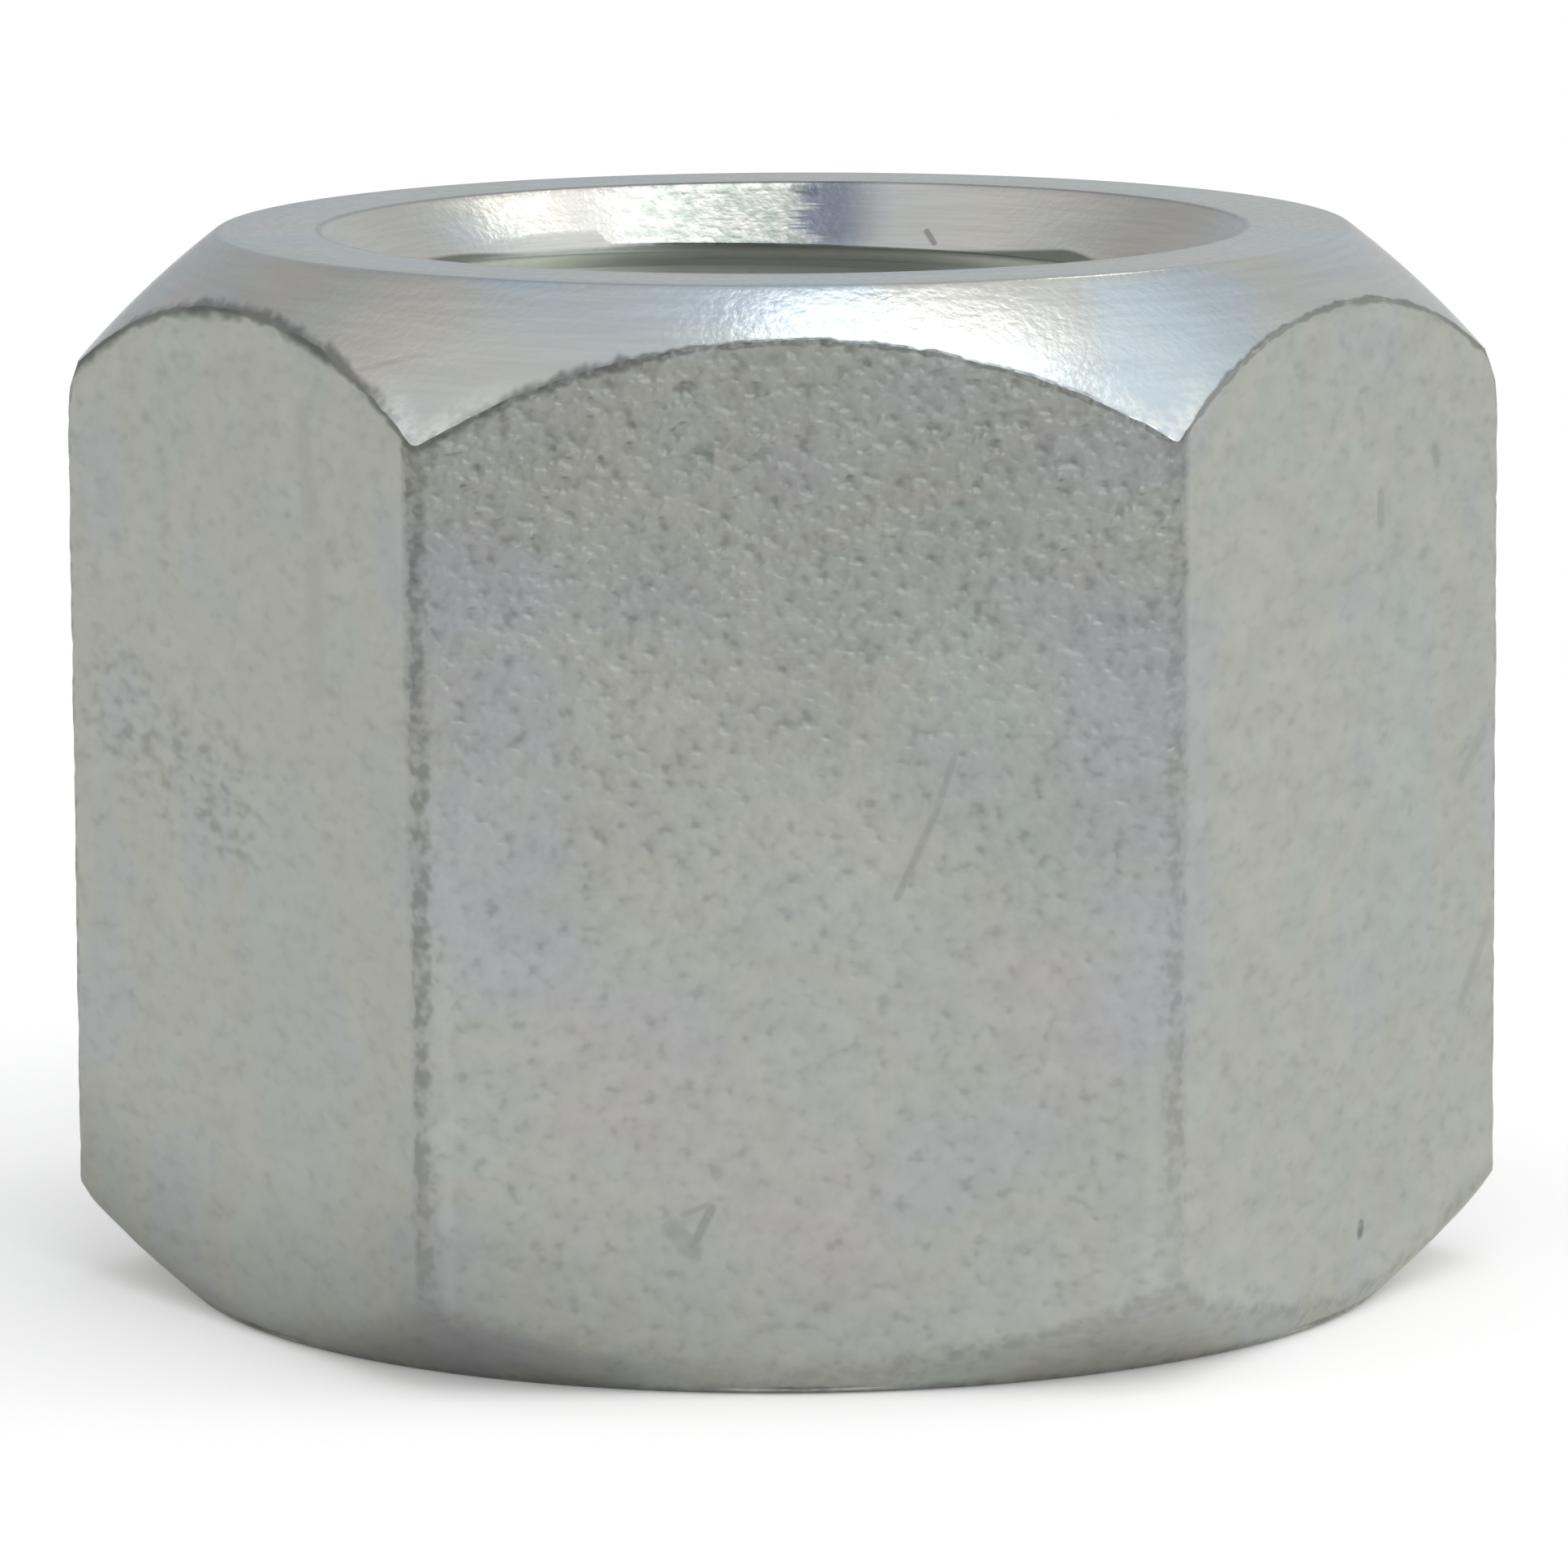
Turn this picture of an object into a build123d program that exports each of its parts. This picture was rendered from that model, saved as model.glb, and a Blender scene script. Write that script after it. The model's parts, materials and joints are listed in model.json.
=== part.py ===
from build123d import *
import os
from math import radians, sqrt, tan

# Forged hexagonal wheel nut with a turned ball seat, one solid.
# The thread axis is Z, the flat end stands on Z = 0, and the seat end is at the top.
# Two flats face -Y and +Y, so two corners of the hexagon lie on the X axis.

# Hexagon
across_flats = 32.0  # spanner size
height = 27.2  # from the flat end to the ring round the bore
corner_radius = 0.6  # rounding of the six upright edges

# Ball seat: a turned band of a sphere whose centre lies on the thread axis
seat_radius = 24.0
ring_diameter = 29.0  # the flat ring that the seat rises to
ring_edge_radius = 0.3  # rounding between the seat and the ring

# Flat end
base_diameter = 31.0  # the flat face that the cone runs down to
base_cone_angle = 40.0  # slope of the cone above the flat face, in degrees
base_edge_radius = 0.5  # rounding between the cone and the flat face

# Thread M22 x 1.5, as a plain bore of the thread's inner diameter
thread_diameter = 22.0
thread_pitch = 1.5
countersink_diameter = 23.7  # at both mouths of the bore
countersink_angle = 90.0  # between opposite sides of the cone

# Sizes that follow from those above
corner_reach = across_flats / sqrt(3)  # axis to a sharp corner of the hexagon
bore_diameter = thread_diameter - 2 * (5 / 8) * (sqrt(3) / 2) * thread_pitch
ring_radius = ring_diameter / 2
base_radius = base_diameter / 2
bore_radius = bore_diameter / 2
mouth_radius = countersink_diameter / 2
countersink_depth = (mouth_radius - bore_radius) / tan(radians(countersink_angle / 2))
base_cone_height = (corner_reach - base_radius) * tan(radians(base_cone_angle))
seat_centre = height - sqrt(seat_radius**2 - ring_radius**2)


def seat_height(radius):
    """Height of the ball seat above the flat end, at a distance from the axis."""
    return seat_centre + sqrt(seat_radius**2 - radius**2)


def hexagonal_bar():
    """The bar that the nut is forged from, with rounded upright edges."""
    outline = RegularPolygon(across_flats / 2, 6, major_radius=False)
    outline = fillet(outline.vertices(), corner_radius)
    return extrude(outline, height)


def turned_envelope():
    """The round form that trims the bar: a cone at the flat end, the ball seat at the other."""
    middle_radius = (ring_radius + corner_reach) / 2
    base_rim = (base_radius, 0)
    ring_rim = (ring_radius, height)
    lower_corner = (corner_reach, base_cone_height)
    upper_corner = (corner_reach, seat_height(corner_reach))
    seat_middle = (middle_radius, seat_height(middle_radius))
    lower_sides = Polyline((0, height), (0, 0), base_rim, lower_corner, upper_corner)
    seat_arc = ThreePointArc(upper_corner, seat_middle, ring_rim)
    ring_line = Line(ring_rim, (0, height))
    section = make_face(lower_sides + seat_arc + ring_line)
    base_vertex = section.vertices().sort_by_distance(base_rim)[0]
    section = fillet(base_vertex, base_edge_radius)
    ring_vertex = section.vertices().sort_by_distance(ring_rim)[0]
    section = fillet(ring_vertex, ring_edge_radius)
    return revolve(Plane.XZ * section, Axis.Z)


def threaded_bore():
    """The bore right through, opened by a countersink at each mouth."""
    section = Polyline(
        (0, 0),
        (mouth_radius, 0),
        (bore_radius, countersink_depth),
        (bore_radius, height - countersink_depth),
        (mouth_radius, height),
        (0, height),
        close=True,
    )
    return revolve(Plane.XZ * make_face(section), Axis.Z)


def lug_nut():
    """The finished nut."""
    nut = hexagonal_bar() & turned_envelope()
    return nut - threaded_bore()


os.makedirs("parts", exist_ok=True)
export_step(lug_nut(), "parts/lug_nut.step")
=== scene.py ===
import json
from math import asin, cos, pi, radians, sin, sqrt, tan

import bmesh
import bpy
import numpy as np
from mathutils import Matrix, Vector, noise


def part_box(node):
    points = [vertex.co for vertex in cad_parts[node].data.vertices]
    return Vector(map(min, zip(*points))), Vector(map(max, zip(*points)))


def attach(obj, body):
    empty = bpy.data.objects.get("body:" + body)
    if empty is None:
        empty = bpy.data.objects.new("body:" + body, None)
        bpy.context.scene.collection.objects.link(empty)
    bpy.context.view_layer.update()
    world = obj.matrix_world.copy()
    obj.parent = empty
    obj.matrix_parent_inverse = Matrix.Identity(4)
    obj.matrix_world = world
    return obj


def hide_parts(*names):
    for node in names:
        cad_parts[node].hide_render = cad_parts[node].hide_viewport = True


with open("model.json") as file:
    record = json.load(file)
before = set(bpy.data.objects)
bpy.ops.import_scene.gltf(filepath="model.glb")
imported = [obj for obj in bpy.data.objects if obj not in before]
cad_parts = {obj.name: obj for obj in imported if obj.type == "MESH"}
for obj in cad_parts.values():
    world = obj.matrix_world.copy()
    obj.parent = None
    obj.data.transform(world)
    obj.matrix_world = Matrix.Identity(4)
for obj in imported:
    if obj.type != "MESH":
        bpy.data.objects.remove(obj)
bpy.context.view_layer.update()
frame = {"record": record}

# The looks of a forged, zinc-plated wheel nut with a turned ball seat.
# Lengths in this script are millimetres in the part's frame, and Blender gets metres.
# Angles round the thread axis are in degrees: 270 is the middle of the front flat.

MM = 0.001
NODE = "lug_nut"

# ------------------------------------------------ sizes of the nut

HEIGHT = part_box(NODE)[1].z / MM
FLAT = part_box(NODE)[1].y / MM  # thread axis to a flat
SIDE = 2 * FLAT / sqrt(3)  # length of one side between its sharp corners
CORNER_RADIUS = 0.6

SEAT_RADIUS = 24.0
RING_RADIUS = 14.5
RING_EDGE = 0.3
SEAT_CENTRE = HEIGHT - sqrt(SEAT_RADIUS**2 - RING_RADIUS**2)

BASE_RADIUS = 15.5
BASE_ANGLE = 40.0
BASE_EDGE = 0.5
BASE_TANGENT = BASE_EDGE * tan(radians(BASE_ANGLE / 2))
CONE_START_RADIUS = BASE_RADIUS - BASE_TANGENT + BASE_EDGE * sin(radians(BASE_ANGLE))
CONE_START_HEIGHT = BASE_EDGE * (1 - cos(radians(BASE_ANGLE)))

mounts = {mount["name"]: mount for mount in frame["record"]["mounts"]}
BORE_RADIUS = mounts["thread"]["dims"]["r_mm"]
PITCH = 1.5
THREAD_DEPTH = 5 / 8 * sqrt(3) / 2 * PITCH
MOUTH_RADIUS = 11.85
MOUTH_EDGE = 0.15
MOUTH_ANGLE = 45.0  # slope of the countersinks: their depth and radius change alike
COUNTERSINK_MARGIN = 0.05  # how far outside the thread's root their rows end
THREAD_MARGIN = 0.04  # height left between them and the thread's first and last points

# One pitch of the thread: share of the pitch, share of the depth
THREAD_PROFILE = (
    (0, 0),
    (1 / 4, 0),
    (13 / 32, 1 / 2),
    (9 / 16, 1),
    (11 / 16, 1),
    (27 / 32, 1 / 2),
)
THREAD_START = 1.32  # height of the first crest at angle 0
THREAD_RUNOUT = (0.2, 3.0)  # from these depths below a mouth the grooves begin and are full

# ------------------------------------------------ fineness of the mesh

CORNER_BAND = 0.9  # width beside a corner that has close columns
CORNER_COLUMNS = 9
FLAT_COLUMNS = 39
BORE_COLUMNS = 192
EDGE_ROWS = 4  # of each small rounding
CONE_ROWS = 7
FACE_ROWS = 96
END_CROWDING = 0.3  # how much closer the rows of the flats lie at their ends
SEAT_ROWS = 14
FIRST_SEAT_ROW = 0.04  # place of one row close to the arcs, as a share of the seat
COUNTERSINK_ROWS = 5

SHARP_ANGLE = 32.0  # edges that turn by more stay crisp

# Surfaces, as material slots
FORGED, TURNED = 0, 1
FAR = 5.0  # the distance noted where an edge is out of reach
BELOW_CONE = -1.0  # the height above the lower cone noted at the flat end's rounding

# ------------------------------------------------ what forging and wear left

CORNER_SWING = 0.3  # how much the rounding of an upright edge varies along it
CORNER_TOP = 0.5  # extra rounding of a worn edge at its upper end
CORNER_TIP = 0.5  # less rounding there where the nut isn't worn
CORNER_TOP_REACH = 0.8
CORNER_FOOT_REACH = 1.2
# By the angle of an upright edge: extra rounding of its lower end, and wear of its upper end
CORNER_FOOT = {0: 0.0, 60: 0.5, 120: 0.5, 180: 0.0, 240: 0.6, 300: 0.6}
CORNER_WEAR = {0: 1.0, 60: 0.6, 120: 0.5, 180: 0.8, 240: 0.1, 300: 0.1}

CHIP_DEPTH = 0.05  # bites out of the upright edges
CHIP_REACH = 0.35
WAVE_DEPTH = 0.03  # slow waves of the flats
DIMPLE_DEPTH = 0.012  # hammered look of the flats
PLAIN_FOOT = 1.2  # over this height above the flat end the unevenness sets in

LIP = 0.10  # height of the rolled lip under the ball seat
LIP_BITE = 0.04  # how far the lip rolls in
LIP_CREST = (0.3, 0.6)  # where the lip turns, as shares of its bite and height
TIP_REACH = 0.7  # how far the wear of a tip reaches along the lip
TIP_DROP = 0.35  # how much lower the lip begins at a worn tip
TIP_BITE = 0.3  # how much further in it lies there
TIP_PLAIN = 0.6  # how far the lip stays plain beside a tip

BASE_BLEND = (0.3, 0.9)  # softness between the lower cone and a flat, at its corners and its middle
BASE_BLEND_REACH = 5.0  # distance from a corner where the second holds
BASE_FULLNESS = 0.17  # how much the lower cone stands out near the corners
BASE_FULLNESS_REACH = 3.0
BASE_FULLNESS_RISE = 1.0  # height over which it comes in

# Unevenness: the size of its bumps, and a shift that gives it a pattern of its own
CORNER_GRAIN = (1.4, 7.0)
WAVE_GRAIN = (3.6, 0.0)
DIMPLE_GRAIN = (0.9, 3.0)
CHIP_GRAIN = (0.45, 11.0)
LIP_GRAINS = ((0.8, 5.0), (0.3, 9.0))


class Shell:
    """Collects the points and faces of one closed mesh, with what the materials need to know.

    The marks are millimetres: to the nearest upright edge, to the edge under the ball seat,
    and above the lower cone.
    """

    def __init__(self):
        self.points = []
        self.marks = {"corner": [], "arc": [], "above_cone": []}
        self.faces = []
        self.zones = []

    def loop(self, angles, radius, height, **marks):
        """Adds a row of points round the axis and returns their numbers."""
        count = len(angles)
        start = len(self.points)
        radius, height = (np.broadcast_to(value, count) for value in (radius, height))
        self.points += list(zip(radius * np.cos(angles), radius * np.sin(angles), height))
        for name, values in self.marks.items():
            values += list(np.broadcast_to(marks.get(name, FAR), count))
        return np.arange(start, start + count)

    def face(self, numbers, zone):
        """Adds a face, without the points that it names twice."""
        kept = list(dict.fromkeys(int(n) for n in numbers))
        if len(kept) > 2:
            self.faces.append(kept)
            self.zones.append(zone)

    def band(self, lower, upper, zone):
        """Joins two closed rows that have as many points."""
        for i in range(len(lower)):
            j = (i + 1) % len(lower)
            self.face((lower[i], lower[j], upper[j], upper[i]), zone)

    def stack(self, rows, zone):
        """Joins each row to the next."""
        for lower, upper in zip(rows, rows[1:]):
            self.band(lower, upper, zone)

    def knit(self, outer, outer_angles, inner, inner_angles, zone):
        """Joins two rows in one plane that have different numbers of points."""
        outer, inner = np.append(outer, outer[0]), np.append(inner, inner[0])
        outer_angles = np.append(outer_angles, outer_angles[0] + 2 * pi)
        inner_angles = np.append(inner_angles, inner_angles[0] + 2 * pi)
        i = j = 0
        while i < len(outer) - 1 or j < len(inner) - 1:
            take_outer = i < len(outer) - 1
            if take_outer and j < len(inner) - 1:
                take_outer = outer_angles[i + 1] <= inner_angles[j + 1]
            if take_outer:
                self.face((outer[i], outer[i + 1], inner[j]), zone)
                i += 1
            else:
                self.face((outer[i], inner[j + 1], inner[j]), zone)
                j += 1

    def mesh(self, name):
        """The Blender mesh, in metres."""
        mesh = bpy.data.meshes.new(name)
        mesh.from_pydata((np.array(self.points) * MM).tolist(), [], self.faces)
        mesh.polygons.foreach_set("material_index", self.zones)
        for mark, values in self.marks.items():
            layer = mesh.attributes.new(mark, "FLOAT", "POINT")
            layer.data.foreach_set("value", np.array(values, dtype=np.float32))
        mesh.validate()
        mesh.shade_smooth()
        mesh.set_sharp_from_angle(angle=radians(SHARP_ANGLE))
        return mesh


def grain(angles, radius, height, size, shift):
    """Smooth noise between about -1 and 1, with bumps of a given size, at points round the nut."""
    points = np.stack([radius * np.cos(angles), radius * np.sin(angles), height + 0 * radius], axis=1)
    return np.array([noise.noise(Vector(point / size) + Vector((shift, 0, 0))) for point in points])


def smooth_step(low, high, value):
    """0 below low, 1 above high and a smooth rise between."""
    share = np.clip((value - low) / (high - low), 0, 1)
    return share * share * (3 - 2 * share)


def soft_min(first, second, width):
    """The smaller of two values, rounded where they cross."""
    share = np.clip(0.5 + 0.5 * (second - first) / width, 0, 1)
    return second + (first - second) * share - width * share * (1 - share)


def nearness(distance, reach):
    """1 at a line, about a third at the reach from it and close to 0 at twice the reach."""
    return np.exp(-((distance / reach) ** 2))


# ------------------------------------------------ the outside

def column_angles():
    """Angles of the upright columns, closer together beside the corners."""
    near = np.linspace(0, CORNER_BAND, CORNER_COLUMNS + 1)
    far = np.linspace(CORNER_BAND, SIDE / 2, FLAT_COLUMNS + 1)
    from_corner = np.concatenate([near, far[1:]])
    left = from_corner - SIDE / 2
    right = -left[::-1]
    along = np.concatenate([left, right[1:-1]])
    return np.concatenate([radians(30 + 60 * side) + np.arctan(along / FLAT) for side in range(6)])


def at_corners(values):
    """For each column, the value given for the angle of the nearest corner."""
    return np.array([values[round(np.degrees(angle)) % 360] for angle in NEAREST_CORNER])


COLUMNS = column_angles()
NEAREST_CORNER = np.radians(60 * np.round(np.degrees(COLUMNS) / 60))
CORNER_TURN = np.abs(COLUMNS - NEAREST_CORNER)
CORNER_DISTANCE = SIDE / 2 - FLAT * np.tan(radians(30) - CORNER_TURN)
WEAR = at_corners(CORNER_WEAR)
FOOT = at_corners(CORNER_FOOT)


def hexagon(rounding):
    """Axis to the hexagon's outline in each column, with rounded corners."""
    flat = FLAT / np.cos(radians(30) - CORNER_TURN)
    centre = (FLAT - rounding) / cos(radians(30))
    tangent = np.arctan2(rounding * sin(radians(30)), centre + rounding * cos(radians(30)))
    inside = np.maximum(rounding**2 - (centre * np.sin(CORNER_TURN)) ** 2, 0)
    return np.where(CORNER_TURN < tangent, centre * np.cos(CORNER_TURN) + np.sqrt(inside), flat)


def seat_height(radius):
    """Height of the ball seat at a distance from the axis."""
    return SEAT_CENTRE + np.sqrt(SEAT_RADIUS**2 - radius**2)


# The even nut that the forged skin departs from, in each column
OUTLINE = hexagon(CORNER_RADIUS)
CONE_TOP = CONE_START_HEIGHT + (OUTLINE - CONE_START_RADIUS) * tan(radians(BASE_ANGLE))
SEAT_EDGE = seat_height(OUTLINE)
TIP_WEAR = WEAR * nearness(CORNER_DISTANCE, TIP_REACH)
LIP_HEIGHT = LIP + TIP_DROP * TIP_WEAR
FACE_TOP = SEAT_EDGE - LIP_HEIGHT


def corner_rounding(height):
    """Radius of the upright edges: uneven, and different at both ends."""
    wobble = grain(NEAREST_CORNER, OUTLINE, height, *CORNER_GRAIN)
    near_top = nearness(SEAT_EDGE.min() - height, CORNER_TOP_REACH)
    near_foot = nearness(height - CONE_TOP.max(), CORNER_FOOT_REACH)
    ends = (CORNER_TOP * WEAR - CORNER_TIP * (1 - WEAR)) * near_top + FOOT * near_foot
    return CORNER_RADIUS * (1 + CORNER_SWING * wobble) + ends


def lower_cone(height):
    """Axis to the cone above the flat end, fuller near the corners."""
    cone = CONE_START_RADIUS + (height - CONE_START_HEIGHT) / tan(radians(BASE_ANGLE))
    near_corner = nearness(CORNER_DISTANCE, BASE_FULLNESS_REACH)
    return cone + BASE_FULLNESS * near_corner * smooth_step(0, BASE_FULLNESS_RISE, height)


def forged_surface(height):
    """Axis to the forged skin in each column, at a height given for each column."""
    outline = hexagon(corner_rounding(height))
    blend = np.interp(CORNER_DISTANCE, (0, BASE_BLEND_REACH), BASE_BLEND)
    skin = soft_min(outline, lower_cone(height), blend)
    waves = WAVE_DEPTH * (0.5 - 0.5 * grain(COLUMNS, skin, height, *WAVE_GRAIN))
    dimples = DIMPLE_DEPTH * grain(COLUMNS, skin, height, *DIMPLE_GRAIN)
    bites = np.maximum(grain(COLUMNS, skin, height, *CHIP_GRAIN), 0)
    chips = CHIP_DEPTH * nearness(CORNER_DISTANCE, CHIP_REACH) * bites
    return skin - smooth_step(0, PLAIN_FOOT, height) * (waves + dimples + chips)


def rounded_foot(shell):
    """Rows of the small rounding between the flat end and the lower cone."""
    rows = []
    for turn in np.radians(np.linspace(0, BASE_ANGLE, EDGE_ROWS)):
        radius = BASE_RADIUS - BASE_TANGENT + BASE_EDGE * sin(turn)
        rows.append(shell.loop(COLUMNS, radius, BASE_EDGE * (1 - cos(turn)), above_cone=BELOW_CONE))
    return rows


def skin_row(shell, height):
    """One row of the forged skin, at a height given for each column."""
    marks = {"corner": CORNER_DISTANCE, "arc": SEAT_EDGE - height, "above_cone": height - CONE_TOP}
    return shell.loop(COLUMNS, forged_surface(height), height, **marks)


def skin_rows(shell):
    """Rows of the lower cone and of the flats."""
    rows = []
    for share in np.linspace(0, 1, CONE_ROWS + 1)[1:]:
        rows.append(skin_row(shell, CONE_START_HEIGHT + (CONE_TOP - CONE_START_HEIGHT) * share))
    for step in np.linspace(0, 1, FACE_ROWS + 1)[1:]:
        share = (1 - END_CROWDING) * step + END_CROWDING * (0.5 - 0.5 * cos(pi * step))
        rows.append(skin_row(shell, CONE_TOP + (FACE_TOP - CONE_TOP) * share))
    return rows


def lip_bite():
    """How far in each column of the rolled lip lies: unevenly, and furthest at worn tips."""
    unevenness = sum(grain(COLUMNS, OUTLINE, FACE_TOP, *kind) for kind in LIP_GRAINS)
    rolled = LIP_BITE * (1 + unevenness) * (1 - nearness(CORNER_DISTANCE, TIP_PLAIN))
    return rolled + TIP_BITE * TIP_WEAR


def rolled_lip(shell):
    """The two rows of the rolled lip under the seat, and the second row's distance from the axis."""
    bite = lip_bite()
    start = forged_surface(FACE_TOP)
    inward, upward = LIP_CREST
    marks = {"corner": CORNER_DISTANCE, "arc": 0.0}
    crest = shell.loop(COLUMNS, start - inward * bite, FACE_TOP + upward * LIP_HEIGHT, **marks)
    radius = start - bite
    return [crest, shell.loop(COLUMNS, radius, seat_height(radius), **marks)], radius


def ball_seat(shell, arc_radius):
    """Rows of the ball seat inside the arcs, and of the rounding up to the ring."""
    ring_angle = asin(RING_RADIUS / SEAT_RADIUS)
    edge_centre = RING_RADIUS - RING_EDGE * tan(ring_angle / 2)
    seat_end = edge_centre + RING_EDGE * sin(ring_angle)
    rows = []
    for share in np.append(FIRST_SEAT_ROW, np.linspace(0, 1, SEAT_ROWS)[1:-1]):
        radius = arc_radius + (seat_end - arc_radius) * share
        marks = {"corner": CORNER_DISTANCE, "arc": arc_radius - radius}
        rows.append(shell.loop(COLUMNS, radius, seat_height(radius), **marks))
    for turn in np.linspace(ring_angle, 0, EDGE_ROWS):
        radius = edge_centre + RING_EDGE * sin(turn)
        rows.append(shell.loop(COLUMNS, radius, HEIGHT - RING_EDGE * (1 - cos(turn))))
    return rows


def outside(shell):
    """Every row from the flat end's rim up to the ring. Returns the first and the last row."""
    foot_rows = rounded_foot(shell)
    side_rows = skin_rows(shell)
    lip_rows, arc_radius = rolled_lip(shell)
    seat_rows = ball_seat(shell, arc_radius)
    shell.stack(foot_rows, FORGED)
    shell.stack(foot_rows[-1:] + side_rows + lip_rows, FORGED)
    shell.stack(lip_rows[-1:] + seat_rows, TURNED)
    return foot_rows[0], seat_rows[-1]


# ------------------------------------------------ the bore

BORE_ANGLES = np.linspace(0, 2 * pi, BORE_COLUMNS, endpoint=False)
COUNTERSINK_END = BORE_RADIUS + THREAD_DEPTH + COUNTERSINK_MARGIN
COUNTERSINK_DEPTH = MOUTH_RADIUS - COUNTERSINK_END
THREAD_LOWEST = COUNTERSINK_DEPTH + THREAD_MARGIN
THREAD_HIGHEST = HEIGHT - COUNTERSINK_DEPTH - THREAD_MARGIN
THREAD_TURNS = range(-2, int(HEIGHT / PITCH) + 2)  # more than enough: what lies outside is left out


def countersink(shell, mouth_height, inward):
    """One mouth of the bore: a rounded edge and the cone, from the mouth inward (+1 up, -1 down)."""
    tangent = MOUTH_EDGE * tan(radians(MOUTH_ANGLE / 2))
    rows = []
    for turn in np.radians(np.linspace(0, MOUTH_ANGLE, EDGE_ROWS)):
        radius = MOUTH_RADIUS + tangent - MOUTH_EDGE * sin(turn)
        depth = MOUTH_EDGE * (1 - cos(turn))
        rows.append(shell.loop(BORE_ANGLES, radius, mouth_height + inward * depth))
    first = MOUTH_RADIUS - tangent * cos(radians(MOUTH_ANGLE))
    for radius in np.linspace(first, COUNTERSINK_END, COUNTERSINK_ROWS + 1)[1:]:
        rows.append(shell.loop(BORE_ANGLES, radius, mouth_height + inward * (MOUTH_RADIUS - radius)))
    shell.stack(rows, TURNED)
    return rows


def thread_radius(height, deep):
    """Axis to the thread at a height, for a share of its depth. It runs out into the countersinks."""
    depth = min(height, HEIGHT - height)
    cut = BORE_RADIUS + deep * smooth_step(*THREAD_RUNOUT, depth) * THREAD_DEPTH
    cone = MOUTH_RADIUS - depth
    return max(cut, cone)


def thread_column(shell, angle, first, last):
    """Numbers of the thread's points at one angle, from below. Past its ends they are the given ones."""
    numbers = []
    for turn in THREAD_TURNS:
        for along, deep in THREAD_PROFILE:
            height = THREAD_START + PITCH * (turn + along + angle / (2 * pi))
            if height < THREAD_LOWEST:
                numbers.append(first)
            elif height > THREAD_HIGHEST:
                numbers.append(last)
            else:
                numbers.append(shell.loop([angle], thread_radius(height, deep), height)[0])
    return numbers


def thread(shell, lower, upper):
    """The helical thread between two rows. From the last column to the first it climbs a whole turn."""
    columns = [thread_column(shell, *parts) for parts in zip(BORE_ANGLES, lower, upper)]
    for i, column in enumerate(columns):
        following = columns[(i + 1) % BORE_COLUMNS]
        climb = len(THREAD_PROFILE) if i + 1 == BORE_COLUMNS else 0
        for row in range(len(column) - 1 - climb):
            quad = (column[row], following[row + climb], following[row + climb + 1], column[row + 1])
            shell.face(quad, TURNED)


def nut_mesh():
    """The whole nut as one closed mesh."""
    shell = Shell()
    base, ring = outside(shell)
    lower_mouth = countersink(shell, 0, 1)
    upper_mouth = countersink(shell, HEIGHT, -1)
    shell.knit(base, COLUMNS, lower_mouth[0], BORE_ANGLES, FORGED)
    shell.knit(ring, COLUMNS, upper_mouth[0], BORE_ANGLES, TURNED)
    thread(shell, lower_mouth[-1], upper_mouth[-1])
    return shell.mesh("forged_nut")


def face_outward(mesh):
    """Turns every face of a closed mesh outward."""
    work = bmesh.new()
    work.from_mesh(mesh)
    bmesh.ops.recalc_face_normals(work, faces=work.faces)
    work.to_mesh(mesh)
    work.free()


# ------------------------------------------------ node building

STROKE_CORE = 0.3  # share of a stroke's width that has its full strength
FLAT_TURNS = {"left": 210, "front": 270, "right": 330}  # the flats with marks of their own


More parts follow.
